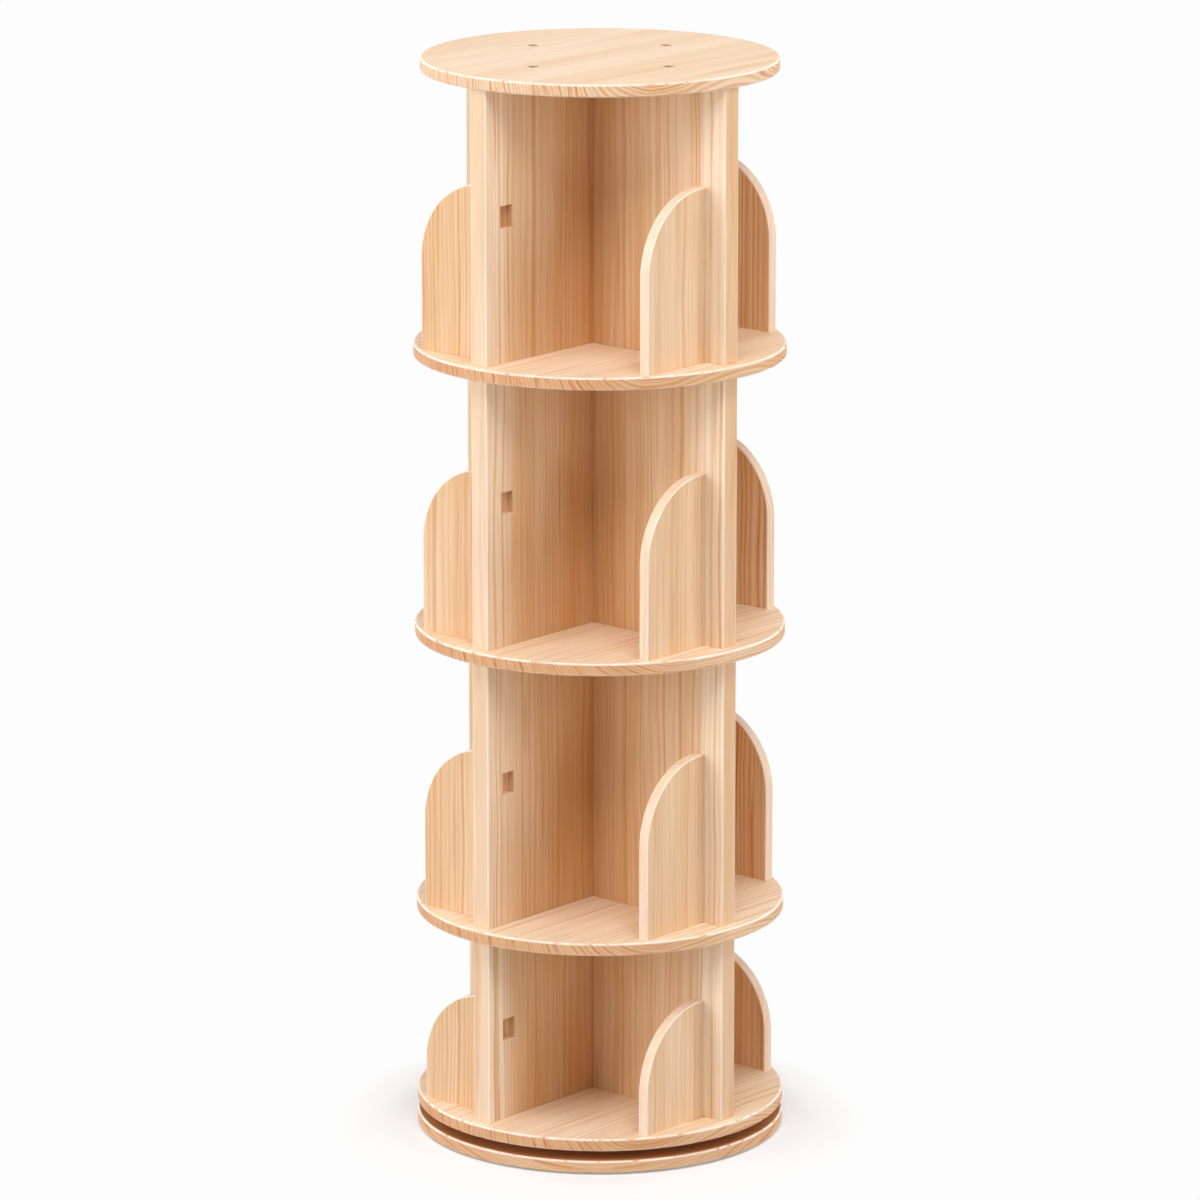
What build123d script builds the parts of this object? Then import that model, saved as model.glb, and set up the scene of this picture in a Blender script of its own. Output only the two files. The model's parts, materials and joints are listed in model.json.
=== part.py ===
# Revolving bookcase: four tiers of round shelves on pinwheel dividers, turning on a caged ball turntable.
# Millimetres. +Z is up, the floor is z = 0 and the turning axis is the Z axis.
# At rest the dividers lie along X and Y, and the first one runs along +X.
from build123d import *
from math import radians, sqrt, tan
import os

# Round boards
shelf_radius = 220.0
top_setback = 10.0  # the top board's edge stands this far inside the shelves'
board_thickness = 15.0
board_ease = 2.0  # rounding of the rims
low_tier_clear = 225.0  # shelf to shelf in the lowest tier
tall_tier_clear = 323.0  # shelf to shelf in the others, which takes upright A4 books
tall_tier_count = 3

# Divider panels
panel_thickness = 24.0
panel_setback = 2.5  # outer corner to the top board's edge
panel_ease = 1.5
core_half_width = 5.0  # half the square channel that four panels leave on the axis

# Arched stops, each tenoned through a panel
stop_thickness = 13.0
stop_inset = 28.5  # panel's outer end to the stop's outer face
stop_setback = 4.2  # stop's outer corner to the shelf's edge
low_stop_height = 144.0
tall_stop_height = 206.0
stop_top_flat = 7.0  # level run of the top edge, between the arch and the panel
stop_ease = 1.2
tenon_height = 26.0
tenon_drop = 34.0  # stop's top edge to the middle of the tenon
pocket_width = 20.0  # square pocket on the panel's far face, where the tenon ends
pocket_depth = 8.0
joint_clearance = 0.1  # all round a tenon, a dowel or a screw in its hole

# Turntable: two grooved rings, one on the base and one under the bottom shelf, with caged balls between
race_radius = 150.0
ring_width = 17.0
ring_lip = 2.0  # metal above and below the groove
ring_lift = 1.5  # each ring to the board that it isn't screwed to
ring_gap = 2.4  # between the two rings' walls
ball_radius = 3.0
ball_clearance = 0.15  # ball to groove
ball_count = 16
cage_thickness = 1.2
cage_rim = 0.85  # above and below a ball's pocket
cage_clearance = 0.15  # ball to its pocket in the cage

# Pads under the base plate
pad_radius = 16.0
pad_thickness = 2.0
pad_inset = 30.0  # base plate's edge to the pads' centres
pad_count = 4
pad_angle = 45.0

# Panel screws, with flat socket heads let in almost flush with the boards
panel_screw_inset = 96.0  # panel's outer end to the screw
panel_screw_length = 45.0  # under the head
panel_screw_radius = 2.5
panel_screw_tip = 4.0
head_radius = 6.5
head_height = 3.0
head_sunk = 0.3
head_clearance = 0.5
socket_radius = 2.9
socket_depth = 1.8

# Ring screws, countersunk
ring_screw_count = 4
ring_screw_angle = 45.0
ring_screw_length = 18.0
ring_screw_radius = 1.75
ring_screw_head_radius = 3.5
ring_screw_tip = 3.0
sink_angle = 90.0
access_radius = 6.0  # hole in the base plate that lets a screwdriver reach the shelf ring

# Dowels under panels and stops
dowel_radius = 4.0
dowel_length = 30.0
dowel_chamfer = 0.8
dowel_floor = 6.0  # wood left below a dowel in its shelf
dowel_inset = 36.0  # panel's ends to its dowels
stop_dowel_inset = 32.0  # stop's outer edge to its dowel
stop_dowel_radius = 3.0

# Places in the first quarter of the pinwheel
top_radius = shelf_radius - top_setback
panel_front = core_half_width - panel_thickness
panel_mid = core_half_width - panel_thickness / 2
panel_end = sqrt((top_radius - panel_setback) ** 2 - panel_front**2)
stop_outer_face = panel_end - stop_inset
stop_inner_face = stop_outer_face - stop_thickness
stop_mid = stop_outer_face - stop_thickness / 2
stop_end = -sqrt((shelf_radius - stop_setback) ** 2 - stop_outer_face**2)
arch_radius = panel_front - stop_end - stop_top_flat
tenon_end = core_half_width - pocket_depth
quarter_letters = "abcd"
quarter_angle = 360 / len(quarter_letters)


def around(x, y):
    """The places that a point takes in the quarters of the pinwheel."""
    return [Vector(x, y).rotate(Axis.Z, quarter * quarter_angle) for quarter in range(len(quarter_letters))]


panel_screw_places = around(panel_end - panel_screw_inset, panel_mid)
inner_dowel_places = around(core_half_width + dowel_inset, panel_mid)
outer_dowel_places = around(panel_end - dowel_inset, panel_mid)
panel_dowel_places = inner_dowel_places + outer_dowel_places
stop_dowel_places = around(stop_mid, stop_end + stop_dowel_inset)

# The turntable's section, with right-angled grooves
groove_reach = (ball_radius + ball_clearance) * sqrt(2)  # middle of the race to a groove's apex
groove_half = groove_reach - ring_gap / 2
ring_height = 2 * (groove_half + ring_lip)
turntable_height = ring_height + ring_lift
cage_height = 2 * (ball_radius + cage_clearance + cage_rim)

# Levels, from the floor up
base_top = pad_thickness + board_thickness
race_level = base_top + turntable_height / 2
tier_clears = [low_tier_clear] + [tall_tier_clear] * tall_tier_count
stop_heights = [low_stop_height] + [tall_stop_height] * tall_tier_count
board_bottoms = [base_top + turntable_height]
for tier_clear in tier_clears:
    board_bottoms.append(board_bottoms[-1] + board_thickness + tier_clear)
shelf_names = ["bottom_shelf"] + [f"shelf_{tier + 1}" for tier in range(1, len(tier_clears))]
board_names = shelf_names + ["top_board"]

# Sizes of the fasteners' holes
counterbore_radius = head_radius + head_clearance
counterbore_depth = head_height + head_sunk
panel_screw_bore = panel_screw_radius + joint_clearance
panel_screw_reach = panel_screw_length - (board_thickness - counterbore_depth) + joint_clearance
dowel_bore = dowel_radius + joint_clearance
stop_dowel_bore = stop_dowel_radius + joint_clearance
dowel_sink = board_thickness - dowel_floor
dowel_reach = dowel_length - dowel_sink + joint_clearance
ring_screw_bore = ring_screw_radius + joint_clearance
ring_screw_reach = ring_screw_length - ring_height + joint_clearance
ring_sink_radius = ring_screw_head_radius + joint_clearance

os.makedirs("parts", exist_ok=True)


def save(builder, name):
    """Labels a finished piece and writes it."""
    builder.part.label = name
    export_step(builder.part, f"parts/{name}.step")


def drill(places, radius, level, depth):
    """Round holes in the current part, from a level up (positive depth) or down (negative depth)."""
    with BuildSketch(Plane.XY.offset(level)) as holes:
        with Locations(*places):
            Circle(radius)
    extrude(holes.sketch, amount=depth, mode=Mode.SUBTRACT)


# Panel screw: head up, its underside at z = 0
with BuildPart() as panel_screw:
    with BuildSketch(Plane.XZ):
        with BuildLine():
            Polyline(
                (0, head_height),
                (head_radius, head_height),
                (head_radius, 0),
                (panel_screw_radius, 0),
                (panel_screw_radius, panel_screw_tip - panel_screw_length),
                (0, -panel_screw_length),
                close=True,
            )
        make_face()
    revolve(axis=Axis.Z)
    with BuildSketch(Plane.XY.offset(head_height)):
        RegularPolygon(socket_radius, side_count=6)
    extrude(amount=-socket_depth, mode=Mode.SUBTRACT)

# Ring screw: head up, its flat top at z = 0
ring_screw_cone = (ring_screw_head_radius - ring_screw_radius) / tan(radians(sink_angle / 2))
with BuildPart() as ring_screw:
    with BuildSketch(Plane.XZ):
        with BuildLine():
            Polyline(
                (0, 0),
                (ring_screw_head_radius, 0),
                (ring_screw_radius, -ring_screw_cone),
                (ring_screw_radius, ring_screw_tip - ring_screw_length),
                (0, -ring_screw_length),
                close=True,
            )
        make_face()
    revolve(axis=Axis.Z)


def ring_places(radius):
    """Where a ring's screws stand, evenly spaced on a circle."""
    circle = PolarLocations(radius, ring_screw_count, start_angle=ring_screw_angle)
    return [place.position for place in circle]


# Base plate, with the ring's pilot holes and the access hole
base_ring_wall = race_radius + ring_gap / 2
shelf_ring_wall = race_radius - ring_gap / 2
base_ring_places = ring_places(base_ring_wall + ring_width / 2)
shelf_ring_places = ring_places(shelf_ring_wall - ring_width / 2)
with BuildPart() as base_plate:
    with BuildSketch(Plane.XY.offset(pad_thickness)):
        Circle(shelf_radius)
    extrude(amount=board_thickness)
    fillet(base_plate.edges(), radius=board_ease)
    drill(base_ring_places, ring_screw_bore, base_top, -ring_screw_reach)
    drill(shelf_ring_places[:1], access_radius, base_top, -board_thickness)
save(base_plate, "base_plate")

with BuildPart() as base_pads:
    with BuildSketch():
        with PolarLocations(shelf_radius - pad_inset, pad_count, start_angle=pad_angle):
            Circle(pad_radius)
    extrude(amount=pad_thickness)
save(base_pads, "base_pads")


def ring_section(side, bottom):
    """Half section of a ring on the outer (1) or inner (-1) side of the race, grooved in its wall."""
    wall = race_radius + side * ring_gap / 2
    back = wall + side * ring_width
    apex = race_radius + side * groove_reach
    with BuildSketch(Plane.XZ) as section:
        with BuildLine():
            Polyline(
                (wall, bottom),
                (back, bottom),
                (back, bottom + ring_height),
                (wall, bottom + ring_height),
                (wall, race_level + groove_half),
                (apex, race_level),
                (wall, race_level - groove_half),
                close=True,
            )
        make_face()
    return section.sketch


# Turntable ring on the base: the outer one, grooved inside
base_ring_heads = [place + Vector(0, 0, base_top + ring_height) for place in base_ring_places]
with BuildPart() as base_ring:
    revolve(ring_section(1, base_top), axis=Axis.Z)
    with Locations(*base_ring_heads):
        CounterSinkHole(ring_screw_bore, ring_sink_radius, counter_sink_angle=sink_angle)
save(base_ring, "turntable_base_ring")

with BuildPart() as base_ring_screws:
    with Locations(*base_ring_heads):
        add(ring_screw.part)
save(base_ring_screws, "base_ring_screws")

# Turntable ring under the bottom shelf: the inner one, grooved outside and screwed from below
shelf_ring_bottom = base_top + ring_lift
shelf_ring_heads = [place + Vector(0, 0, shelf_ring_bottom) for place in shelf_ring_places]
with BuildPart() as shelf_ring:
    revolve(ring_section(-1, shelf_ring_bottom), axis=Axis.Z)
    with Locations(*[Plane(place, z_dir=(0, 0, -1)) for place in shelf_ring_heads]):
        CounterSinkHole(ring_screw_bore, ring_sink_radius, counter_sink_angle=sink_angle)
save(shelf_ring, "turntable_shelf_ring")

with BuildPart() as shelf_ring_screws:
    with Locations(*shelf_ring_heads):
        add(ring_screw.part, rotation=(180, 0, 0))
save(shelf_ring_screws, "shelf_ring_screws")

# Balls, and the cage that spaces them round the race
with BuildPart(Plane.XY.offset(race_level)) as balls:
    with PolarLocations(race_radius, ball_count):
        Sphere(ball_radius)
save(balls, "turntable_balls")

with BuildPart() as cage:
    with BuildSketch(Plane.XY.offset(race_level)):
        Circle(race_radius + cage_thickness / 2)
        Circle(race_radius - cage_thickness / 2, mode=Mode.SUBTRACT)
    extrude(amount=cage_height / 2, both=True)
    with Locations(Plane.XY.offset(race_level)):
        with PolarLocations(race_radius, ball_count):
            Cylinder(ball_radius + cage_clearance, ring_gap, rotation=(0, 90, 0), mode=Mode.SUBTRACT)
save(cage, "ball_cage")

# Bottom shelf, shelves and top board, each with its screws
for name, bottom in zip(board_names, board_bottoms):
    top = bottom + board_thickness
    is_lowest = name == board_names[0]
    is_top = name == board_names[-1]
    bore_mouth = bottom if is_lowest else top
    bore_way = 1 if is_lowest else -1
    with BuildPart() as board:
        with BuildSketch(Plane.XY.offset(bottom)):
            Circle(top_radius if is_top else shelf_radius)
        extrude(amount=board_thickness)
        fillet(board.edges(), radius=board_ease)
        drill(panel_screw_places, counterbore_radius, bore_mouth, bore_way * counterbore_depth)
        drill(panel_screw_places, panel_screw_bore, bore_mouth, bore_way * board_thickness)
        if is_lowest:
            drill(shelf_ring_places, ring_screw_bore, bottom, ring_screw_reach)
        if not is_top:
            drill(panel_dowel_places, dowel_bore, top, -dowel_sink)
            drill(stop_dowel_places, stop_dowel_bore, top, -dowel_sink)
    save(board, name)

    seat = bore_mouth + bore_way * counterbore_depth
    with BuildPart() as board_screws:
        with Locations(*[place + Vector(0, 0, seat) for place in panel_screw_places]):
            add(panel_screw.part, rotation=(180 if is_lowest else 0, 0, 0))
    save(board_screws, f"{name}_screws")

# Tiers: four panels, four stops and their dowels
tiers = zip(board_bottoms, tier_clears, stop_heights)
for tier, (bottom, clear, stop_height) in enumerate(tiers, start=1):
    floor = bottom + board_thickness
    ceiling = floor + clear
    stop_top = floor + stop_height
    tenon_level = stop_top - tenon_drop
    mortise_height = tenon_height + 2 * joint_clearance

    with BuildPart() as panel:
        with BuildSketch(Plane.XY.offset(floor)):
            with Locations((core_half_width, panel_front)):
                Rectangle(panel_end - core_half_width, panel_thickness, align=(Align.MIN, Align.MIN))
        extrude(amount=clear)
        fillet(panel.edges().filter_by(Axis.Z).group_by(Axis.X)[-1], radius=panel_ease)
        drill(panel_screw_places[:1], panel_screw_bore, ceiling, -panel_screw_reach)
        drill(inner_dowel_places[:1], dowel_bore, floor, dowel_reach)
        drill(outer_dowel_places[:1], dowel_bore, floor, dowel_reach)
        if tier == 1:
            drill(panel_screw_places[:1], panel_screw_bore, floor, panel_screw_reach)
        with BuildSketch(Plane.XZ.offset(-core_half_width)):
            with Locations((stop_mid, tenon_level)):
                Rectangle(pocket_width, mortise_height)
        extrude(amount=pocket_depth, mode=Mode.SUBTRACT)
        with BuildSketch(Plane.XZ.offset(-core_half_width)):
            with Locations((stop_mid, tenon_level)):
                Rectangle(stop_thickness + 2 * joint_clearance, mortise_height)
        extrude(amount=panel_thickness, mode=Mode.SUBTRACT)

    arch_foot = (stop_end, stop_top - arch_radius)
    arch_crown = (stop_end + arch_radius, stop_top)
    with BuildPart() as stop:
        with BuildSketch(Plane.YZ.offset(stop_inner_face)):
            with BuildLine():
                Polyline(
                    arch_crown,
                    (panel_front, stop_top),
                    (panel_front, floor),
                    (stop_end, floor),
                    arch_foot,
                )
                TangentArc(arch_foot, arch_crown, tangent=(0, 1))
            make_face()
            with Locations((tenon_end, tenon_level)):
                Rectangle(tenon_end - panel_front, tenon_height, align=(Align.MAX, Align.CENTER))
        extrude(amount=stop_thickness)
        arches = stop.edges().filter_by(GeomType.CIRCLE)
        outer_edges = stop.edges().filter_by(Axis.Z).group_by(Axis.Y)[0]
        top_edges = stop.edges().filter_by(Axis.Y).group_by(Axis.Z)[-1]
        fillet(arches + outer_edges + top_edges, radius=stop_ease)
        drill(stop_dowel_places[:1], stop_dowel_bore, floor, dowel_reach)

    for quarter, letter in enumerate(quarter_letters):
        with BuildPart() as turned_panel:
            add(panel.part, rotation=(0, 0, quarter * quarter_angle))
        save(turned_panel, f"tier_{tier}_panel_{letter}")
        with BuildPart() as turned_stop:
            add(stop.part, rotation=(0, 0, quarter * quarter_angle))
        save(turned_stop, f"tier_{tier}_stop_{letter}")

    with BuildPart() as dowels:
        for places, radius in ((panel_dowel_places, dowel_radius), (stop_dowel_places, stop_dowel_radius)):
            with BuildSketch(Plane.XY.offset(floor - dowel_sink)):
                with Locations(*places):
                    Circle(radius)
            extrude(amount=dowel_length)
        chamfer(dowels.edges().filter_by(GeomType.CIRCLE), length=dowel_chamfer)
    save(dowels, f"tier_{tier}_dowels")
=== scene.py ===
# %% [markdown]
# # A revolving bookcase in pine
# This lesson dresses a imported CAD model. The model is loaded as a fixed frame that nothing moves,
# the visible wood is built again over it with finer edges and its own grain, and the metal, nylon
# and felt pieces and the dowels keep their CAD shapes and get finishes. Lengths are metres, the
# turning axis is the Z axis and the floor is at zero.

# %% Load the frame
import json
import math

import bpy
import numpy as np
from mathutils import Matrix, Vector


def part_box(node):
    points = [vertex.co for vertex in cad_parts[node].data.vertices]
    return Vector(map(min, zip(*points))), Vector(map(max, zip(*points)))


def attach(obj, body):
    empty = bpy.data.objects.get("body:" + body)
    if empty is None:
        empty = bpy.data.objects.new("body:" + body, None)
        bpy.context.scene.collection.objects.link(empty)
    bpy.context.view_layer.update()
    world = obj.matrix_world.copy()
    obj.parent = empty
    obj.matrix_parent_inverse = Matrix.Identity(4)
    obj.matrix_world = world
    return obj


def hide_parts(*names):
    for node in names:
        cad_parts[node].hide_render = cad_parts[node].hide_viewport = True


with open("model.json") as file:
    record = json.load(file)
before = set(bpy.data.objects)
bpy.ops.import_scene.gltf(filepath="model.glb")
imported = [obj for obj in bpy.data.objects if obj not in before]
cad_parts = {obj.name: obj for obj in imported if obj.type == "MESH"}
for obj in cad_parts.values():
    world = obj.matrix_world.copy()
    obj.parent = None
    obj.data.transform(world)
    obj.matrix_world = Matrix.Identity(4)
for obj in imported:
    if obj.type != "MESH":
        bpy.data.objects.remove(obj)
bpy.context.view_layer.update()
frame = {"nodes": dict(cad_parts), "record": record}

MM = 0.001

# %% [markdown]
# ## Places, taken from the frame
# Four dividers stand in each tier like the arms of a pinwheel, so only the first arm has to be
# worked out: the other three are the same piece turned by a quarter about the axis. The first
# divider's box and the box of the stop tenoned into it give nearly every size that the wood needs.

# %% Sizes of the wood
tier_names = ["tier_1", "tier_2", "tier_3", "tier_4"]
quarter_letters = "abcd"
quarter_turn = math.pi / 2
panel_low, panel_high = (np.array(corner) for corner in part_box("tier_1_panel_a"))
stop_low, stop_high = (np.array(corner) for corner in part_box("tier_1_stop_a"))
core, panel_front, _ = panel_low
panel_end, panel_back, _ = panel_high
stop_inner, stop_end, _ = stop_low
stop_outer, tenon_end, _ = stop_high
stop_mid = (stop_inner + stop_outer) / 2
stop_half = (stop_outer - stop_inner) / 2
print("divider", np.round((panel_high - panel_low) / MM, 1))
print("stop", np.round((stop_high - stop_low) / MM, 1))

# %% [markdown]
# ## From arrays to a mesh
# Each surface below is a grid: rows of points, where every row has as many points as the next.
# Joining neighbours by four gives its faces. Where a row shrinks to a single point, or two grids
# share an edge, the points that fall together are welded, so the shell is closed. The signed volume
# of a closed shell says whether its faces look outwards, so a shell that comes out inside out is
# flipped. Every point also carries three marks, which tell the pine what to show there.

# %% Grids and welding
weld_step = 1e-6
weld_shift = 0.123  # moves the limit of rounding away from lengths in half steps


def grid_faces(rows, columns):
    """Four corners of each face of a grid whose columns run round and close on themselves."""
    down, across = np.meshgrid(np.arange(rows - 1), np.arange(columns), indexing="ij")
    beside = (across + 1) % columns
    corners = (down * columns + across, down * columns + beside)
    lower = ((down + 1) * columns + beside, (down + 1) * columns + across)
    return np.stack(corners + lower, axis=-1).reshape(-1, 4)


def closed_shell(grids):
    """Welds (points, faces, marks) grids into one closed shell of triangles that look outwards.
    Points are joined where they agree to a thousandth of a millimetre, a face of four corners is cut
    along a diagonal, and a triangle that the weld leaves with two corners in one place is dropped."""
    starts = np.cumsum([0] + [len(points) for points, _, _ in grids[:-1]])
    points = np.concatenate([points for points, _, _ in grids])
    faces = np.concatenate([faces + start for (_, faces, _), start in zip(grids, starts)])
    marks = np.concatenate([marks for _, _, marks in grids])
    keys = np.round(points / weld_step + weld_shift).astype(np.int64)
    _, first, place = np.unique(keys, axis=0, return_index=True, return_inverse=True)
    corners = place.reshape(-1)[faces]
    triangles = np.concatenate([corners[:, [0, 1, 2]], corners[:, [0, 2, 3]]])
    a, b, c = triangles.T
    triangles = triangles[(a != b) & (b != c) & (c != a)]
    points, marks = points[first], marks[first]
    p, q, r = (points[triangles[:, k]] for k in range(3))
    volume = np.einsum("ij,ij->i", p, np.cross(q, r)).sum() / 6
    return points, triangles if volume > 0 else triangles[:, ::-1], marks


def turned(points, angle):
    """Points turned about the Z axis: x cos - y sin, x sin + y cos."""
    c, s = math.cos(angle), math.sin(angle)
    return points @ np.array([[c, s, 0], [-s, c, 0], [0, 0, 1]])


print("faces of a grid of 3 rows and 4 columns", len(grid_faces(3, 4)))

# %% [markdown]
# An object made here stands for one CAD node: it rides on the node's body and hides the node.
# Normals weighted by area keep the wide flats evenly lit beside their fine roundings, which smooth
# shading alone would let bleed into them.

# %% Wooden objects
WORN_HIGHLIGHT, END_AND_GAP_SHADE, FIGURE = 0, 1, 2  # columns of the marks
sharp_angle = math.radians(32)  # an edge that turns by more than this stays sharp
wood_pieces = []


def wooden_object(name, node, body, shells, grain, tone, growth):
    """One object of closed shells, which stands for a CAD node and carries the wood's attributes:
    grain (place in the log), worn_highlight (1 on a sanded edge, whose pale band is also a painted
    highlight), end (1 where fibres are cut across, and on the faces beside the turntable gap as painted
    shade), figure (how strongly the year lines show), tone (0 for pale wood, 1 for honey-coloured wood,
    with painted light and shade on many pieces) and growth (how wide one year's ring is in that log)."""
    starts = np.cumsum([0] + [len(points) for points, _, _ in shells[:-1]])
    points = np.concatenate([points for points, _, _ in shells])
    triangles = np.concatenate([faces + start for (_, faces, _), start in zip(shells, starts)])
    marks = np.concatenate([marks for _, _, marks in shells])
    mesh = bpy.data.meshes.new(name)
    mesh.from_pydata(points, [], triangles)
    log_place = mesh.attributes.new("grain", "FLOAT_VECTOR", "POINT")
    log_place.data.foreach_set("vector", np.float32(grain).ravel())
    even = np.ones(len(points))
    columns = {"worn_highlight": marks[:, WORN_HIGHLIGHT], "end": marks[:, END_AND_GAP_SHADE], "figure": marks[:, FIGURE]}
    columns.update({"tone": tone * even, "growth": growth * even})
    for column, values in columns.items():
        mesh.attributes.new(column, "FLOAT", "POINT").data.foreach_set("value", np.float32(values))
    mesh.shade_smooth()
    mesh.set_sharp_from_angle(angle=sharp_angle)
    piece = bpy.data.objects.new(name, mesh)
    bpy.context.scene.collection.objects.link(piece)
    piece.modifiers.new("even_shading", "WEIGHTED_NORMAL").keep_sharp = True
    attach(piece, body)
    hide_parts(node)
    return piece


# %% [markdown]
# ## Wood is a log before it is a board
# A board shows lines because it cuts through the year rings of a trunk. If every point of a piece
# knows where it lay in its log, one material can draw the rings on all its faces, and they meet at
# the edges as they do in solid wood. So each piece stores a vector: two coordinates across the log,
# measured from the pith, and one along it. A pith far outside a board gives straight lines, as on the
# dividers. A shelf was sawn just below its pith, which lies off to one side, so the lines on its rim
# stand upright on the far side and lie down where the pith is near.

# %% Place in the log
trunk_length = 20.0


def in_the_log(points, across, through, along, pith, seed):
    """Coordinates in the log: each point's run across, through and along the board, shifted so that
    the pith is the origin, with a seeded slide along the trunk so that no two boards match."""
    board = points @ np.array([across, through, along], float).T
    slide = np.random.default_rng(seed).uniform(0, trunk_length)
    return board - np.array([pith[0], pith[1], slide])


print("boards come from anywhere along", trunk_length, "m of trunk")

# %% [markdown]
# ## Round boards
# The top, the shelves and the base plate are discs of board with rounded rims, and in use their
# edges have lost small chips. A disc could be a cylinder with a Bevel modifier, but then the chips
# would need sculpting. Here the half section, from the axis out along the top, round the rim and
# back along the underside, is turned about the axis, and the rim's points are pushed in where a
# chip is missing.

# %% Chips in an edge
chip_count = 48
chip_width = (0.9 * MM, 3.6 * MM)
chip_depth = (0.15 * MM, 1.3 * MM)
chip_rarity = 2.5  # the higher, the fewer chips are deep
# The top board's front edge has taken one larger knock: its angle, half width and depth.
knock = (math.radians(-33), 3.4 * MM, 1.7 * MM)


def broken_edge(angles, radius, seed, knocks):
    """How much of an edge is missing at each angle: a sum of narrow bell curves at seeded places and
    of the knocks, given as (angle, half width, depth)."""
    rng = np.random.default_rng(seed)
    shallow, deep = chip_depth
    places = rng.uniform(0, 2 * math.pi, chip_count)
    widths = rng.uniform(*chip_width, chip_count) / radius
    depths = rng.uniform(0, 1, chip_count) ** chip_rarity * (deep - shallow) + shallow
    for place, half_width, depth in knocks:
        places, widths = np.append(places, place), np.append(widths, half_width / radius)
        depths = np.append(depths, depth)
    apart = (angles[:, None] - places + math.pi) % (2 * math.pi) - math.pi
    return (depths * np.exp(-((apart / widths) ** 2))).sum(axis=1)


print("chips in an edge", chip_count)

# %% Half section of a round board, turned
around_count = 960
round_steps = 6
rounding = np.linspace(0, math.pi / 2, round_steps)
rim_ease = 2 * MM  # rounding of a rim's two edges
worn_highlight_fade = 0.9 * MM  # how far the pale band of a sanded edge, also a painted highlight, reaches beside its rounding
under_highlight = 0.3  # painted light: the lower edge of a rim gets less of the pale band than the upper one, which is lit more
bare_chip = 0.3 * MM  # a chip this deep has lost all of the pale band of sanding and painted highlight


def round_board_rim(radius, bottom, top, angles, grain_angle, seed, knocks):
    """The rim, as rows from the top's flat round to the underside's. Over the upper rounding the
    section's radius is R - e + e sin t and its height is top - e + e cos t, and below it is mirrored;
    a row beside each rounding ends the paler band. Where the edge is broken, a point moves inwards
    along the diagonal by the missing depth times sin 2t. The figure mark is 1 on the rim, 0 on flats."""
    rise, mid = rim_ease * np.cos(rounding), np.sin(2 * rounding)
    flat, side = radius - rim_ease - worn_highlight_fade, rim_ease + worn_highlight_fade
    curve = radius - rim_ease + rim_ease * np.sin(rounding)
    reach = np.concatenate([[flat], curve, [radius, radius], curve[::-1], [flat]])
    upper = np.concatenate([[top], top - rim_ease + rise, [top - side]])
    lower = np.concatenate([[bottom + side], (bottom + rim_ease - rise)[::-1], [bottom]])
    half_out = np.concatenate([[0], np.sin(rounding), [1]])
    half_edge = np.concatenate([[0], 0.5 + 0.5 * mid, [0]])
    half_mid = np.concatenate([[0], mid, [0]])[:, None]
    upper_missing = half_mid * broken_edge(angles, radius, seed, knocks)
    lower_missing = half_mid[::-1] * broken_edge(angles, radius, seed + 1, [])
    missing = np.concatenate([upper_missing, lower_missing])
    inwards = missing * math.sqrt(0.5)
    turn_down = np.repeat([1, -1], len(half_out))[:, None]
    reach = reach[:, None] - inwards
    height = np.concatenate([upper, lower])[:, None] - turn_down * inwards
    points = np.stack([reach * np.cos(angles), reach * np.sin(angles), height], axis=-1)
    out = np.concatenate([half_out, half_out[::-1]])[:, None]
    # the pale band on the edges is sanding and a painted highlight, weaker on the lower edge
    edge = np.concatenate([half_edge, under_highlight * half_edge[::-1]])[:, None]
    worn_highlight = edge * (1 - missing / bare_chip)
    end = out * np.abs(np.cos(angles - grain_angle))
    marks = np.stack([worn_highlight, end, out + 0 * worn_highlight], axis=-1)
    return points.reshape(-1, 3), grid_faces(len(points), len(angles)), marks.reshape(-1, 3)


print("rim rows", 2 * (round_steps + 2), "points round", around_count)

# %% [markdown]
# The four screws of a board sit in wells on one face. A face with four wells is four quarter
# sectors, each a ring from its well's edge to the sector's outline, so the flats meet along the
# radii between them and meet the rim along the arc. The base plate has one hole instead, which lets
# a screwdriver reach the turntable, and its flats are single rings from that hole to the rim.

# %% Rings and wells
way_shares = np.array([0, 0.12, 0.45, 1])  # rows of a ring, as shares of the way out from its hole


def flat_marks(shape):
    """Marks of a flat: not worn and no end grain; its figure is set board by board."""
    return np.zeros((shape[0] * shape[1], 3))


def flat_ring(hole, hole_radius, outline, level):
    """A flat between a round hole and an outline: every outline point is joined to the point of the
    hole's edge that lies in the same direction, with rows at shares of the way between."""
    away = outline - hole
    edge = hole + hole_radius * away / np.linalg.norm(away, axis=1, keepdims=True)
    flat = edge + way_shares[:, None, None] * (outline - edge)
    points = np.concatenate([flat, np.full(flat.shape[:2] + (1,), level)], axis=-1)
    return points.reshape(-1, 3), grid_faces(len(way_shares), len(outline)), flat_marks(flat.shape)


def round_well(hole, outline, section):
    """A round well turned about its own axis: rows of (radius, level), in the outline's directions."""
    away = outline - hole
    away = away / np.linalg.norm(away, axis=1, keepdims=True)
    radii, levels = np.array(section).T
    flat = hole + radii[:, None, None] * away
    heights = np.broadcast_to(levels[:, None, None], flat.shape[:2] + (1,))
    points = np.concatenate([flat, heights], axis=-1)
    return points.reshape(-1, 3), grid_faces(len(section), len(outline)), flat_marks(points.shape)


print("rows of a ring", len(way_shares))

# %% Flats, with wells and plain
well_radius = 7 * MM
well_depth = 3.3 * MM
well_ease = 0.4 * MM
head_radius = 6.5 * MM
screw_place = np.array([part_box("top_board_screws")[1].x - head_radius, (panel_front + panel_back) / 2])
screw_angle = math.atan2(screw_place[1], screw_place[0])
radius_steps = 24
disc_shares = np.array([1, 0.6, 0.25, 0])  # rows of a plain disc, as shares of its radius


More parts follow.
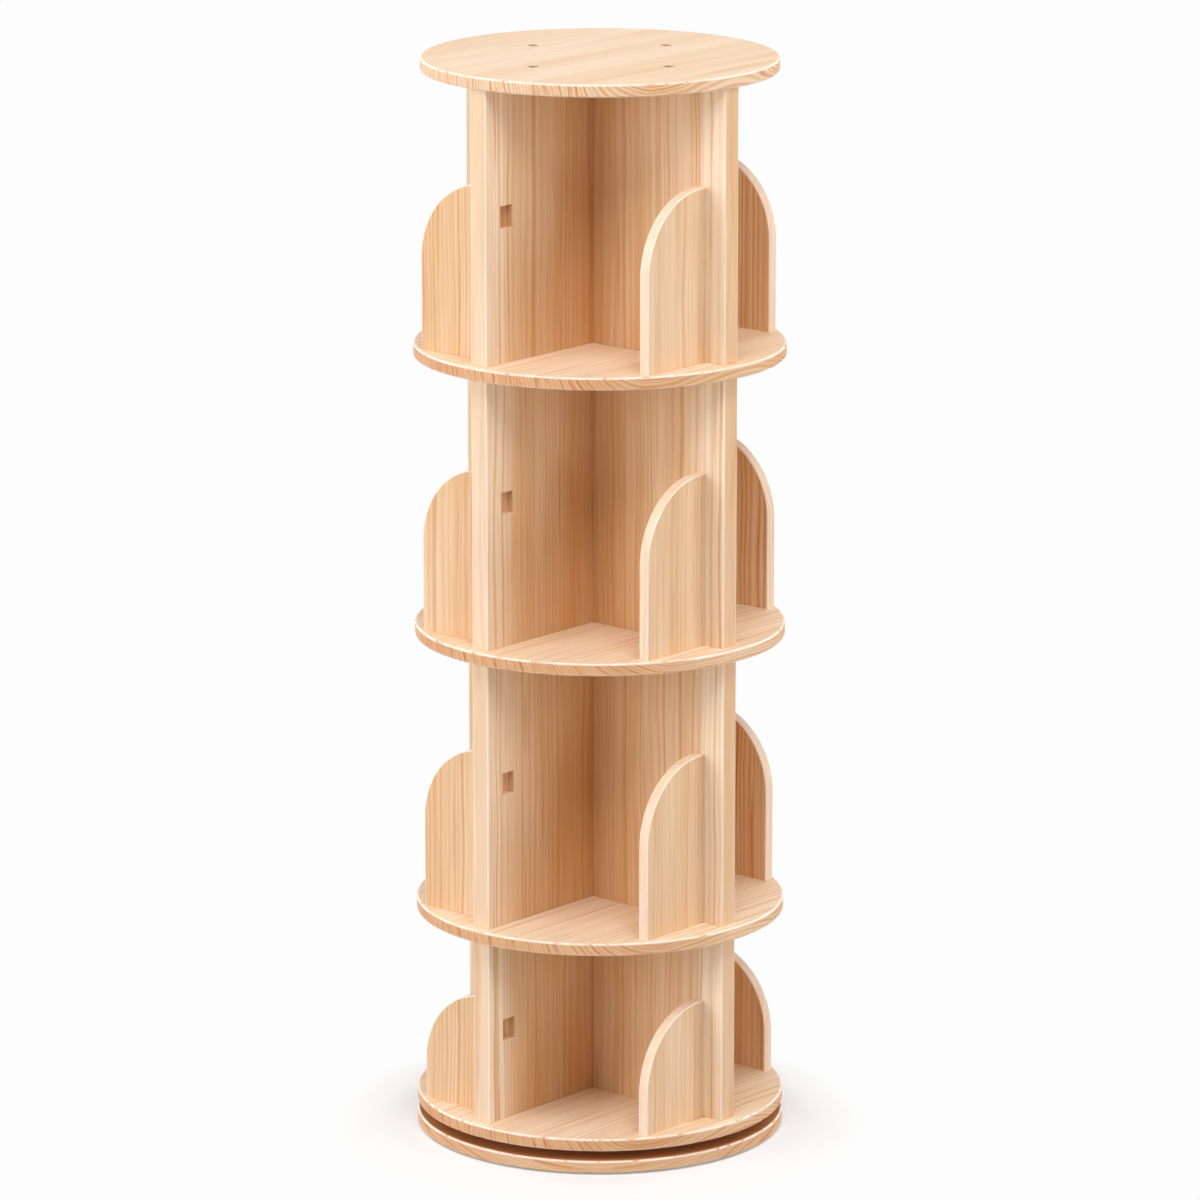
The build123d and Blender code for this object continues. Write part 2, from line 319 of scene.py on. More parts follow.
def sector_outline(reach):
    """Outline of the quarter of a disc that has the first screw on its middle line."""
    out = np.linspace(0, 1, radius_steps, endpoint=False)[:, None] * reach
    angles = screw_angle - quarter_turn / 2 + np.linspace(0, quarter_turn, around_count // 4 + 1)
    arc = reach * np.stack([np.cos(angles), np.sin(angles)], axis=-1)
    first, last = arc[0] / reach, arc[-1] / reach
    back = np.linspace(1, 0, radius_steps, endpoint=False)[1:, None] * reach
    return np.concatenate([out * first, arc, back * last])


def flat_with_wells(reach, level, depth):
    """Four quarter flats with a screw's well in each, which goes down where the depth is negative."""
    outline = sector_outline(reach)
    mouth, well_floor = well_radius + well_ease, level + depth
    lip = level + math.copysign(well_ease, depth)
    section = [(mouth, level), (well_radius, lip), (well_radius, well_floor), (0, well_floor)]
    quarter = [flat_ring(screw_place, mouth, outline, level), round_well(screw_place, outline, section)]
    return [
        (turned(points, k * quarter_turn), faces, marks)
        for k in range(4)
        for points, faces, marks in quarter
    ]


def plain_flat(reach, level, angles):
    """A disc as rings from the rim to the axis."""
    radii = reach * disc_shares[:, None]
    height = np.full((len(disc_shares), len(angles)), level)
    points = np.stack([radii * np.cos(angles), radii * np.sin(angles), height], axis=-1)
    return points.reshape(-1, 3), grid_faces(len(disc_shares), len(angles)), flat_marks(points.shape)


print("screws stand", np.round(screw_place / MM, 1))

# %% [markdown]
# Each board comes from its own log, so a table gives the place of its pith, how wide its years are
# and how deep its colour is; the shelves' tones are set paler towards the bottom, as painted light.
# A rim shows the strongest lines, because the saw cut across them, and its colour is deepened where it
# runs along the fibres, as painted shade. The two faces beside the turntable get the deepest tone and
# the darkening of cut ends, as painted shade, which makes the gap between the base and the shelves
# look deep.

# %% How the round boards were cut
board_cuts = {
    # pith across and through, width of a year, tones of flats and rim, darkness of ends, flats' figure
    # painted light and shade: the shelves' tones grow paler from shelf_4 down to the bottom shelf, to make
    # up for the light that falls off lower down, and the base plate's flats take the deepest tone, as
    # painted shade in the gap
    "bottom_shelf": (178 * MM, 30 * MM, 3.8 * MM, 0.0, 0.0, 1.0, 0.7),
    "shelf_2": (190 * MM, 34 * MM, 4.2 * MM, 0.0, 0.0, 1.0, 0.65),
    "shelf_3": (200 * MM, 40 * MM, 3.6 * MM, 0.04, 0.04, 1.0, 0.65),
    "shelf_4": (184 * MM, 27 * MM, 4.4 * MM, 0.1, 0.1, 1.0, 0.55),
    "top_board": (176 * MM, 22 * MM, 4.4 * MM, 0.28, 0.0, 0.45, 0.4),
    "base_plate": (0 * MM, -420 * MM, 3.8 * MM, 1.0, -0.1, 1.0, 0.8),
}
rim_figure = 1.0
rim_side_shade = 0.55  # painted shade: how much deeper a rim is made where it runs along the fibres
gap_shade_tone, gap_shade_end = 1.0, 1.0  # painted shade: the faces beside the gap get the deepest tone and the ends' darkening
gap_floor, gap_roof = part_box("base_plate")[1].z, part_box("bottom_shelf")[0].z
shelf_grain_angle = math.pi / 2  # the shelves' fibres run along Y
base_grain_angle = math.radians(41)
ring_width = 17 * MM  # of the turntable's shelf ring; the access hole is under its middle
access_radius = 6 * MM
access_angle = math.pi / 4
access_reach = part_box("turntable_shelf_ring")[1].x - ring_width / 2
access_place = access_reach * np.array([math.cos(access_angle), math.sin(access_angle)])
angles = screw_angle - quarter_turn / 2 + np.linspace(0, 2 * math.pi, around_count, endpoint=False)
print("gap between base and shelves", round((gap_roof - gap_floor) / MM, 1), "mm")

# %% Make the round boards
for seed, (name, cut) in enumerate(board_cuts.items()):
    across_pith, through_pith, growth, flat_tone, rim_tone, dark_ends, flat_figure = cut
    low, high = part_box(name)
    radius, bottom, top = high.x, low.z, high.z
    is_base = name == "base_plate"
    grain_angle = base_grain_angle if is_base else shelf_grain_angle
    knocks = [knock] if name == "top_board" else []
    grids = [round_board_rim(radius, bottom, top, angles, grain_angle, 10 * seed, knocks)]
    flat = radius - rim_ease - worn_highlight_fade
    if is_base:
        outline = flat * np.stack([np.cos(angles), np.sin(angles)], axis=-1)
        grids += [flat_ring(access_place, access_radius, outline, level) for level in (top, bottom)]
        grids.append(round_well(access_place, outline, [(access_radius, top), (access_radius, bottom)]))
    elif name == "bottom_shelf":
        grids.append(plain_flat(flat, top, angles))
        grids += flat_with_wells(flat, bottom, well_depth)
    else:
        grids += flat_with_wells(flat, top, -well_depth)
        grids.append(plain_flat(flat, bottom, angles))
    points, triangles, marks = closed_shell(grids)
    on_rim, height = marks[:, FIGURE].copy(), points[:, 2]
    # painted shade: the flats beside the turntable gap get the deepest tone and the ends' darkening
    gap_shade = (height > gap_floor - weld_step) & (height < gap_roof + weld_step) & (on_rim == 0)
    marks[:, END_AND_GAP_SHADE] = np.maximum(marks[:, END_AND_GAP_SHADE] * dark_ends, gap_shade_end * gap_shade)
    marks[:, FIGURE] = flat_figure + (rim_figure - flat_figure) * on_rim
    # painted shade: rims are made deeper where they run along the fibres
    beside_fibres = np.abs(np.sin(np.arctan2(points[:, 1], points[:, 0]) - grain_angle))
    tone = flat_tone + (rim_tone + rim_side_shade * beside_fibres - flat_tone) * on_rim
    tone = np.where(gap_shade, gap_shade_tone, tone)
    along = (math.cos(grain_angle), math.sin(grain_angle), 0)
    across = (math.sin(grain_angle), -math.cos(grain_angle), 0)
    centred = points - np.array([0, 0, (bottom + top) / 2])
    grain = in_the_log(centred, across, (0, 0, 1), along, (across_pith, through_pith), seed)
    body = "base" if is_base else "carousel"
    shells = [(points, triangles, marks)]
    wood_pieces.append(wooden_object(f"pine_{name}", name, body, shells, grain, tone, growth))
    print(name, "radius", round(radius / MM, 1), "triangles", len(triangles))

# %% [markdown]
# ## Dividers
# A divider is a plain board on edge. Its outer corners are rounded, its ends are slightly bevelled
# where they meet the shelves, and a square pocket in its far face shows the end of the tenon that
# comes through from the other side. The level outline is carried up the height as a grid, the cells
# over the pocket and the mortise are left out, and a tube of four corners lines the hole.

# %% Level outline carried up
panel_ease = 1.5 * MM  # rounding of the two outer edges
joint_ease = 0.5 * MM  # the small bevel where one board is butted to another
core_bevel = 0.9 * MM  # bevel of the edges that meet along the axis
joint_clearance = 0.1 * MM
pocket_width = 20 * MM
pocket_highlight = 0.7  # the pocket's mouth is sanded and carries a painted highlight
tenon_height = 26 * MM
tenon_drop = 34 * MM  # from a stop's top edge to the middle of its tenon
tenon_taper = 1 * MM  # a tenon is this much thinner, each side, where the stop's shoulder hides it
upright_figure = 0.75
end_face_figure = 0.5  # a divider's sanded end face shows fainter lines
edge_highlight, end_face_highlight = 0.9, 0.12  # the edges' pale band is sanding and a painted highlight; that face gets less of it


def divider_outline(inset):
    """Level outline, counter-clockwise from the inner front corner. The inner corners are bevelled and
    the outer ones are quarter circles with a point beside each to end the paler band; the long sides
    have points at the edges of the mortise and of the pocket."""
    mortise, pocket = stop_half + joint_clearance - tenon_taper, pocket_width / 2
    ease, side = panel_ease - inset, panel_ease + worn_highlight_fade
    end, front, back, inner = panel_end - inset, panel_front + inset, panel_back - inset, core + inset
    outer_x = panel_end - panel_ease
    sin, cos = np.sin(rounding), np.cos(rounding)
    front_side = [(inner, front + core_bevel), (inner + core_bevel, front)]
    front_side += [(stop_mid - mortise, front), (stop_mid + mortise, front), (panel_end - side, front)]
    front_curve = np.stack([outer_x + ease * sin, front + ease * (1 - cos)], axis=-1)
    end_side = [(end, panel_front + side), (end, panel_back - side)]
    back_curve = np.stack([outer_x + ease * cos, back - ease * (1 - sin)], axis=-1)
    back_side = [(panel_end - side, back), (stop_mid + pocket, back), (stop_mid - pocket, back)]
    back_side += [(inner + core_bevel, back), (inner, back - core_bevel)]
    return np.concatenate([front_side, front_curve, end_side, back_curve, back_side])


side_points, end_points = 5, 2  # how many points the outline has on a long side and on the end face
mortise_cell = 2
pocket_cell = side_points + 2 * round_steps + end_points + 1
edge_run = 0.5 + 0.5 * np.sin(2 * rounding)
# the pale band of the outer edges and the end face: sanding and a painted highlight
long_side, highlight_curve = np.zeros(side_points), edge_highlight * edge_run
highlight_end = np.full(end_points, end_face_highlight)
outline_highlight = np.concatenate([long_side, highlight_curve, highlight_end, highlight_curve, long_side])
end_face = np.concatenate([long_side, np.sin(rounding), np.ones(end_points), np.cos(rounding), long_side])
print("points of the outline", len(divider_outline(0)), "cells cut out", mortise_cell, pocket_cell)


# %% Pocket, mortise and height
def square_loops(loops, level):
    """Loops of four corners about a tenon's middle line, given as (half width, half height, y)."""
    side, lift = np.array([-1, 1, 1, -1]), np.array([-1, -1, 1, 1])
    corners = [(stop_mid + side * wide, np.full(4, y), level + lift * tall) for wide, tall, y in loops]
    return np.concatenate([np.stack(corner, axis=-1) for corner in corners])


def divider_pocket(tenon_level, half):
    """The pocket's mouth, its floor, the mortise in that floor, and the mortise on the near face."""
    wide, narrow = pocket_width / 2, stop_half + joint_clearance
    loops = [
        (wide, half, panel_back),
        (wide, half, tenon_end),
        (narrow, half, tenon_end),
        (narrow - tenon_taper, half, panel_front),
    ]
    marks = np.repeat([(pocket_highlight, 0, 1), (0, 0, 1), (0, 0, 1), (0, 0, 1)], 4, axis=0)
    return square_loops(loops, tenon_level), grid_faces(len(loops), 4)[:, ::-1], marks


def divider_shell(floor, ceiling, tenon_level):
    """The outline at each level, pinched to a point at both ends to close them, with the through
    mortise and the pocket lined by loops of four corners."""
    half = tenon_height / 2 + joint_clearance
    cut_low, cut_high = tenon_level - half, tenon_level + half
    levels = [floor, floor, floor + joint_ease, cut_low, cut_high, ceiling - joint_ease, ceiling, ceiling]
    insets = [joint_ease, joint_ease, 0, 0, 0, 0, joint_ease, joint_ease]
    outlines = np.stack([divider_outline(inset) for inset in insets])
    outlines[[0, -1]] = outlines[[0, -1]].mean(axis=1, keepdims=True)
    rows, columns = outlines.shape[:2]
    heights = np.broadcast_to(np.array(levels)[:, None, None], (rows, columns, 1))
    points = np.concatenate([outlines, heights], axis=-1)
    row_start = levels.index(cut_low) * columns
    faces = np.delete(grid_faces(rows, columns), [row_start + mortise_cell, row_start + pocket_cell], axis=0)
    worn_highlight = np.broadcast_to(outline_highlight, (rows, columns))
    figure = upright_figure + (end_face_figure - upright_figure) * end_face
    marks = np.stack([worn_highlight, 0 * worn_highlight, figure + 0 * worn_highlight], axis=-1).reshape(-1, 3)
    return closed_shell([(points.reshape(-1, 3), faces, marks), divider_pocket(tenon_level, half)])


# %% [markdown]
# No two planks have the same colour. Each divider has its own tone, and over it lies painted light
# and shade: the tone is deeper towards the axis, as painted shade for the inner corners, and pale in
# the strip that lies beyond the stop, as painted light. The narrow outer edge is deeper again than
# that strip, as painted shade. The tone is worked out point by point and stored with the mesh, so the
# pine needs no colours of its own for each plank.

# %% Make the dividers
panel_tone = (0.67, 0.77)
axis_shade_tone = 0.4  # painted shade: how much deeper the axis side is than the outer side
strip_light_border = 18 * MM  # painted light of the strip begins over this width about the stop's middle
strip_light_tones = {"a": 0.68, "b": 0.5, "c": 0.5, "d": 0.47}  # painted light: how much paler the strip is, by quarter
edge_shade_tones = {"a": 0.96, "b": 0.5, "c": 0.5, "d": 0.37}  # painted shade on the narrow edge, by quarter
upright_growth = (4.5 * MM, 9.5 * MM)  # some trees grew faster than others
panel_pith_across = (170 * MM, 260 * MM)
panel_pith_through = (120 * MM, 200 * MM)
panel_seed = 100  # of the first divider

for tier, tier_name in enumerate(tier_names):
    floor, ceiling = (corner.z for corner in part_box(f"{tier_name}_panel_a"))
    stop_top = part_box(f"{tier_name}_stop_a")[1].z
    points, triangles, marks = divider_shell(floor, ceiling, stop_top - tenon_drop)
    reach = points[:, 0]
    # painted shade deeper towards the axis and on the outer edge, painted light in the strip beyond the stop
    axis_shade = axis_shade_tone * (0.5 - (reach - core) / (panel_end - core))
    strip_light = np.clip(0.5 + (reach - stop_mid) / strip_light_border, 0, 1)
    on_edge = np.clip(1 + (reach - panel_end) / panel_ease, 0, 1)
    for quarter, letter in enumerate(quarter_letters):
        seed = panel_seed + 10 * tier + quarter
        rng = np.random.default_rng(seed)
        pith_across = panel_end / 2 - rng.uniform(*panel_pith_across)
        pith_through = rng.choice([-1, 1]) * rng.uniform(*panel_pith_through)
        grain = in_the_log(points, (1, 0, 0), (0, 1, 0), (0, 0, 1), (pith_across, pith_through), seed)
        tone = rng.uniform(*panel_tone) + axis_shade
        tone = tone - strip_light_tones[letter] * strip_light + edge_shade_tones[letter] * on_edge
        growth = rng.uniform(*upright_growth)
        node = f"{tier_name}_panel_{letter}"
        placed = [(turned(points, quarter * quarter_turn), triangles, marks)]
        wood_pieces.append(wooden_object(f"pine_{node}", node, "carousel", placed, grain, tone, growth))
print("dividers", len(tier_names) * len(quarter_letters), "triangles each", len(triangles))

# %% [markdown]
# ## Arched stops
# A stop keeps books from sliding off the shelf's open side. It is a thin board with a quarter-round
# top, eased all round, and a tenon as thick as itself that passes through the divider. The outline
# is drawn once in its plane; copies of it, drawn in by the rounding's sine and moved by its cosine,
# are the rows that go from one face over the edge to the other.

# %% Outline rows from face to face
arch_steps = 56
stop_ease = 1.2 * MM  # rounding of the arched edges
stop_top_flat = 7 * MM  # level run between an arch and its divider
arch_highlight = 0.45  # the narrow face that follows the arch gets less of the pale band than its edges: sanding and a painted highlight
arch_end, arch_figure = 0.1, 0.15  # so it shows little of its end grain


def stop_outline(floor, stop_top):
    """Outline in the stop's plane as (y, z), how far each point draws in where its edge is rounded,
    the size of that rounding, and how much the edge there is end grain."""
    arch = panel_front - stop_end - stop_top_flat
    angle = np.linspace(math.pi, math.pi / 2, arch_steps)
    out = np.stack([np.cos(angle), np.sin(angle)], axis=-1)
    curve = np.array([stop_end + arch, stop_top - arch]) + arch * out
    outline = np.concatenate([[(panel_front, floor), (stop_end, floor)], curve, [(panel_front, stop_top)]])
    foot_in = [(-joint_ease, joint_ease), (stop_ease, joint_ease)]
    draw_in = np.concatenate([foot_in, -stop_ease * out, [(-joint_ease, -stop_ease)]])
    ease = np.concatenate([[joint_ease], np.full(arch_steps + 2, stop_ease)])
    end = np.concatenate([[0, 0], out[:, 1], [1]])
    return outline, draw_in, ease, end


def stop_shell(floor, stop_top):
    """Rows from the middle of the inner face out to its edge, over the rounding, across, over the
    other rounding and in to the middle of the outer face: in-draw (1 - sin t), depth e (1 - cos t)."""
    outline, draw_in, ease, end = stop_outline(floor, stop_top)
    beside = worn_highlight_fade / stop_ease
    drawn = np.concatenate([[1 + beside], 1 - np.sin(rounding), [0]])[:, None, None]
    depth = np.concatenate([[0], 1 - np.cos(rounding), [1 + beside]])[:, None] * ease
    rows = outline + drawn * draw_in
    middle = np.broadcast_to(outline.mean(axis=0), (1,) + outline.shape)
    flat = np.concatenate([middle, rows, rows[::-1], middle])
    zero = np.zeros((1, len(outline)))
    inner, outer = stop_inner + depth, stop_outer - depth[::-1]
    across = np.concatenate([zero + stop_inner, inner, outer, zero + stop_outer])
    points = np.concatenate([across[..., None], flat], axis=-1)
    # pale band over the arch's edges: sanding and a painted highlight
    band = np.concatenate([[0], edge_run, [arch_highlight]])[:, None] * (ease == stop_ease)
    worn_highlight = np.concatenate([zero, band, band[::-1], zero])
    cut = np.concatenate([[0], np.sin(rounding), [1]])[:, None] * end
    ends = np.concatenate([zero, cut, cut[::-1], zero])
    figure = upright_figure + (arch_figure - upright_figure) * ends
    marks = np.stack([worn_highlight, arch_end * ends, figure], axis=-1).reshape(-1, 3)
    return closed_shell([(points.reshape(-1, 3), grid_faces(*points.shape[:2]), marks)])


print("points of a stop's outline", arch_steps + 3)

# %% Tenon
tenon_bevel = 0.2 * MM
tenon_root = 2 * MM  # how far a tenon's shell starts inside its stop
tenon_end_grain = 0.6


def tenon_shell(tenon_level):
    """The tenon: loops of four corners from inside the stop to its bevelled end in the pocket."""
    root = panel_front - tenon_root
    wide, tall = stop_half, tenon_height / 2
    loops = [
        (0, 0, root),
        (wide - tenon_taper, tall, root),
        (wide - tenon_taper, tall, panel_front),
        (wide, tall, tenon_end - tenon_bevel),
        (wide - tenon_bevel, tall - tenon_bevel, tenon_end),
        (0, 0, tenon_end),
    ]
    marks = np.tile([0, tenon_end_grain, 1], (4 * len(loops), 1))
    return closed_shell([(square_loops(loops, tenon_level), grid_faces(len(loops), 4), marks)])


print("tenon", round(2 * stop_half / MM, 1), "by", round(tenon_height / MM, 1), "mm")

# %% [markdown]
# A stop comes from a plank of its own too. Those of one quarter have nearly the same tone in all four
# tiers, set quarter by quarter to how brightly they are lit in the main view, which is painted light and
# shade. They show their year lines equally strongly, but the run of the lines and the width of the years
# differ from tier to tier.

# %% Make the stops
stop_light_tones = {"a": 0.54, "b": 0.46, "c": 0.62, "d": 0.7}  # middle tone of a stop, by quarter: painted light and shade
stop_tone_spread = 0.03
stop_figures = {"a": 0.62, "b": 1.5, "c": 1.0, "d": 1.0}  # how strongly its year lines show
stop_pith_across = (150 * MM, 220 * MM)
stop_pith_through = (90 * MM, 160 * MM)
stop_centre = -70 * MM  # near the middle of a stop's width, from which its pith is measured
stop_seed = 200  # of the first stop

for tier, tier_name in enumerate(tier_names):
    low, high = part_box(f"{tier_name}_stop_a")
    shells = [stop_shell(low.z, high.z), tenon_shell(high.z - tenon_drop)]
    at_first = np.concatenate([points for points, _, _ in shells])
    for quarter, letter in enumerate(quarter_letters):
        seed = stop_seed + 10 * tier + quarter
        rng = np.random.default_rng(seed)
        pith_across = stop_centre + rng.choice([-1, 1]) * rng.uniform(*stop_pith_across)
        pith_through = stop_mid + rng.choice([-1, 1]) * rng.uniform(*stop_pith_through)
        grain = in_the_log(at_first, (0, 1, 0), (1, 0, 0), (0, 0, 1), (pith_across, pith_through), seed)
        # painted light and shade: each quarter's tone is set to how brightly its stops are lit in the main
        # view
        tone = stop_light_tones[letter] + stop_tone_spread * rng.uniform(-1, 1)
        growth = rng.uniform(*upright_growth)
        strength = np.array([1, 1, stop_figures[letter]])
        node = f"{tier_name}_stop_{letter}"
        placed = [
            (turned(points, quarter * quarter_turn), faces, marks * strength)
            for points, faces, marks in shells
        ]
        wood_pieces.append(wooden_object(f"pine_{node}", node, "carousel", placed, grain, tone, growth))
print("stops", len(tier_names) * len(quarter_letters), "wooden pieces in all", len(wood_pieces))

# %% [markdown]
# ## A way to write materials
# A node tree written out by hand is long, so one function adds any node: it sets the node's
# settings, and each input is either a constant or another node's output. Colours are picked as the
# hex values that a paint program shows, and turned into the linear values that a shader works in.

# %% Colours and nodes
FACTOR, COLOUR_A, COLOUR_B, MIXED = 0, 6, 7, 2  # sockets of a Mix node that mixes colours


def linear(hex_colour):
    """sRGB hex to linear: c / 12.92 near black, else ((c + 0.055) / 1.055) to the power 2.4."""
    c = np.array([int(hex_colour[k : k + 2], 16) for k in (1, 3, 5)]) / 255
    return (*np.where(c <= 0.04045, c / 12.92, ((c + 0.055) / 1.055) ** 2.4), 1.0)


def add_node(tree, kind, settings=None, inputs=None, output=0):
    """Adds a node, sets its settings and inputs, and gives back one of its outputs, if it has any."""
    node = tree.nodes.new(kind)
    for key, value in (settings or {}).items():
        setattr(node, key, value)
    for key, value in (inputs or {}).items():
        if isinstance(value, bpy.types.NodeSocket):
            tree.links.new(value, node.inputs[key])
        else:
            node.inputs[key].default_value = value
    return node.outputs[output] if len(node.outputs) else None


def new_material(name):
    """An empty material and its node tree."""
    material = bpy.data.materials.new(name)
    material.use_nodes = True
    material.node_tree.nodes.clear()
    return material, material.node_tree


print("middle grey in linear", round(float(linear("#808080")[0]), 3))

# %% [markdown]
# ## Pine
# The bookcase is planed and sanded pine under a thin matt oil. Pine is pale where the tree grew
# fast in spring and darker orange in the thin hard line that ends each year, so the eye sees lines
# a few millimetres apart, some strong and some hardly there. Long fibres add finer streaks, whole
# areas drift towards honey, cut ends drink oil and look darker, and sanded edges look paler; that
# pale band on the edges is also a painted highlight.
#
# A Wave texture could draw rings, but all would be equally strong and equally wide. Here the distance
# from the pith is counted in years: the fraction of a year says how far the season is, and its whole
# number picks at random how strong that year's line is.

# %% Distance from the pith
wander_across, wander_along = 45 * MM, 210 * MM  # the rings wander slowly
wander_reach = 5.5 * MM

pine, tree = new_material("oiled_pine")
place = add_node(tree, "ShaderNodeAttribute", {"attribute_name": "grain"}, {}, "Vector")
worn_highlight, end, figure, growth, tone = (
    add_node(tree, "ShaderNodeAttribute", {"attribute_name": name}, {}, "Fac")
    for name in ("worn_highlight", "end", "figure", "growth", "tone")
)
smooth = {"interpolation_type": "SMOOTHSTEP"}


def stretched(across, along):
    """The place in the log, counted in cells that are long along the fibres."""
    cells = (1 / across, 1 / across, 1 / along)
    return add_node(tree, "ShaderNodeVectorMath", {"operation": "MULTIPLY"}, {0: place, 1: cells})


wander = stretched(wander_across, wander_along)
wander = add_node(
    tree, "ShaderNodeTexNoise", {}, {"Vector": wander, "Scale": 1.0, "Detail": 2.0}, "Color"
)
wander = add_node(tree, "ShaderNodeVectorMath", {"operation": "SUBTRACT"}, {0: wander, 1: (0.5, 0.5, 0.5)})
widest = (2 * wander_reach, 2 * wander_reach, 0)
wander = add_node(tree, "ShaderNodeVectorMath", {"operation": "MULTIPLY"}, {0: wander, 1: widest})
bent = add_node(tree, "ShaderNodeVectorMath", {"operation": "ADD"}, {0: place, 1: wander})
level = add_node(tree, "ShaderNodeVectorMath", {"operation": "MULTIPLY"}, {0: bent, 1: (1, 1, 0)})
from_pith = add_node(tree, "ShaderNodeVectorMath", {"operation": "LENGTH"}, {0: level}, "Value")
print("pine nodes so far", len(tree.nodes))

# %% Year lines of the pine
uneven_years = 20 * MM  # wide and narrow years come in runs
uneven_shift = 2.2  # years by which such a run moves the rings
line_rarity = 1.6  # the higher, the fewer lines are strong
line_strength = (0.22, 0.95)
line_rise, line_fall = (0.15, 0.7), (0.7, 1.0)  # a line darkens and ends in these parts of its year

run = add_node(tree, "ShaderNodeMath", {"operation": "DIVIDE"}, {0: from_pith, 1: uneven_years})
run = add_node(
    tree, "ShaderNodeTexNoise", {"noise_dimensions": "1D"}, {"W": run, "Scale": 1.0, "Detail": 1.0}
)
years = add_node(tree, "ShaderNodeMath", {"operation": "DIVIDE"}, {0: from_pith, 1: growth})
years = add_node(
    tree, "ShaderNodeMath", {"operation": "MULTIPLY_ADD"}, {0: run, 1: uneven_shift, 2: years}
)
season = add_node(tree, "ShaderNodeMath", {"operation": "FRACT"}, {0: years})
year = add_node(tree, "ShaderNodeMath", {"operation": "FLOOR"}, {0: years})
strong = add_node(tree, "ShaderNodeTexWhiteNoise", {"noise_dimensions": "1D"}, {"W": year}, "Value")
strong = add_node(tree, "ShaderNodeMath", {"operation": "POWER"}, {0: strong, 1: line_rarity})
strong = add_node(
    tree,
    "ShaderNodeMapRange",
    {},
    {"Value": strong, "To Min": line_strength[0], "To Max": line_strength[1]},
)
summer = add_node(
    tree,
    "ShaderNodeMapRange",
    smooth,
    {"Value": season, "From Min": line_rise[0], "From Max": line_rise[1]},
)
winter = add_node(
    tree,
    "ShaderNodeMapRange",
    smooth,
    {"Value": season, "From Min": line_fall[0], "From Max": line_fall[1], "To Min": 1.0, "To Max": 0.0},
)
line = add_node(tree, "ShaderNodeMath", {"operation": "MULTIPLY"}, {0: summer, 1: winter})
line = add_node(tree, "ShaderNodeMath", {"operation": "MULTIPLY"}, {0: line, 1: strong})
print("pine nodes so far", len(tree.nodes))

# %% [markdown]
# Once in a while a few years together make one bold streak. The log is cut into wide cells, each with
# a streak at a random place, and a noise that is long along the fibres lets it come and go.

# %% Bold streaks of the pine
bold_apart = 26 * MM
bold_along = 180 * MM
bold_place_range = (0.15, 0.85)  # where in its cell a streak may lie
bold_half = (0.01, 0.1)  # half width of its core and of its soft border, in cells
bold_strength = 0.85
bold_shows = (0.4, 0.65)  # values of that noise at which a streak begins to show and is full

bold_run = add_node(tree, "ShaderNodeMath", {"operation": "DIVIDE"}, {0: from_pith, 1: bold_apart})
bold_cell = add_node(tree, "ShaderNodeMath", {"operation": "FLOOR"}, {0: bold_run})
bold_place = add_node(
    tree, "ShaderNodeTexWhiteNoise", {"noise_dimensions": "1D"}, {"W": bold_cell}, "Value"
)
bold_place = add_node(
    tree,
    "ShaderNodeMapRange",
    {},
    {"Value": bold_place, "To Min": bold_place_range[0], "To Max": bold_place_range[1]},
)
bold = add_node(tree, "ShaderNodeMath", {"operation": "FRACT"}, {0: bold_run})
bold = add_node(tree, "ShaderNodeMath", {"operation": "SUBTRACT"}, {0: bold, 1: bold_place})
bold = add_node(tree, "ShaderNodeMath", {"operation": "ABSOLUTE"}, {0: bold})
bold = add_node(
    tree,
    "ShaderNodeMapRange",
    smooth,
    {
        "Value": bold,
        "From Min": bold_half[0],
        "From Max": bold_half[1],
        "To Min": bold_strength,
        "To Max": 0.0,
    },
)
shows = stretched(bold_apart, bold_along)
shows = add_node(tree, "ShaderNodeTexNoise", {}, {"Vector": shows, "Scale": 1.0, "Detail": 1.0})
shows = add_node(
    tree,
    "ShaderNodeMapRange",
    {},
    {"Value": shows, "From Min": bold_shows[0], "From Max": bold_shows[1]},
)
bold = add_node(tree, "ShaderNodeMath", {"operation": "MULTIPLY"}, {0: bold, 1: shows})
line = add_node(tree, "ShaderNodeMath", {"operation": "MAXIMUM"}, {0: line, 1: bold})
print("pine nodes so far", len(tree.nodes))

# %% [markdown]
# The lines are then laid over the ground colour, which goes from pale spring wood to honey with a
# slow drift and with the tone stored on each piece, which holds the plank's own tone and painted
# light and shade.

# %% Ground colour and lines of the pine
drift_across, drift_along = 38 * MM, 380 * MM
drift_reach = 0.22
noise_span = (0.3, 0.7)  # nearly all of a noise lies between these values
spring_colour = linear("#f6e0c5")
honey_colour = linear("#deae7a")
year_colour = linear("#cb8840")

drift = stretched(drift_across, drift_along)
drift = add_node(tree, "ShaderNodeTexNoise", {}, {"Vector": drift, "Scale": 1.0, "Detail": 2.0})
drift = add_node(
    tree,
    "ShaderNodeMapRange",
    {},
    {
        "Value": drift,
        "From Min": noise_span[0],
        "From Max": noise_span[1],
        "To Min": -drift_reach,
        "To Max": drift_reach,
    },
)
drift = add_node(tree, "ShaderNodeMath", {"operation": "ADD", "use_clamp": True}, {0: drift, 1: tone})
colour = add_node(
    tree,
    "ShaderNodeMix",
    {"data_type": "RGBA"},
    {FACTOR: drift, COLOUR_A: spring_colour, COLOUR_B: honey_colour},
    MIXED,
)
line_share = add_node(
    tree, "ShaderNodeMath", {"operation": "MULTIPLY", "use_clamp": True}, {0: line, 1: figure}
)
colour = add_node(
    tree,
    "ShaderNodeMix",
    {"data_type": "RGBA"},
    {FACTOR: line_share, COLOUR_A: colour, COLOUR_B: year_colour},
    MIXED,
)
print("pine nodes so far", len(tree.nodes))

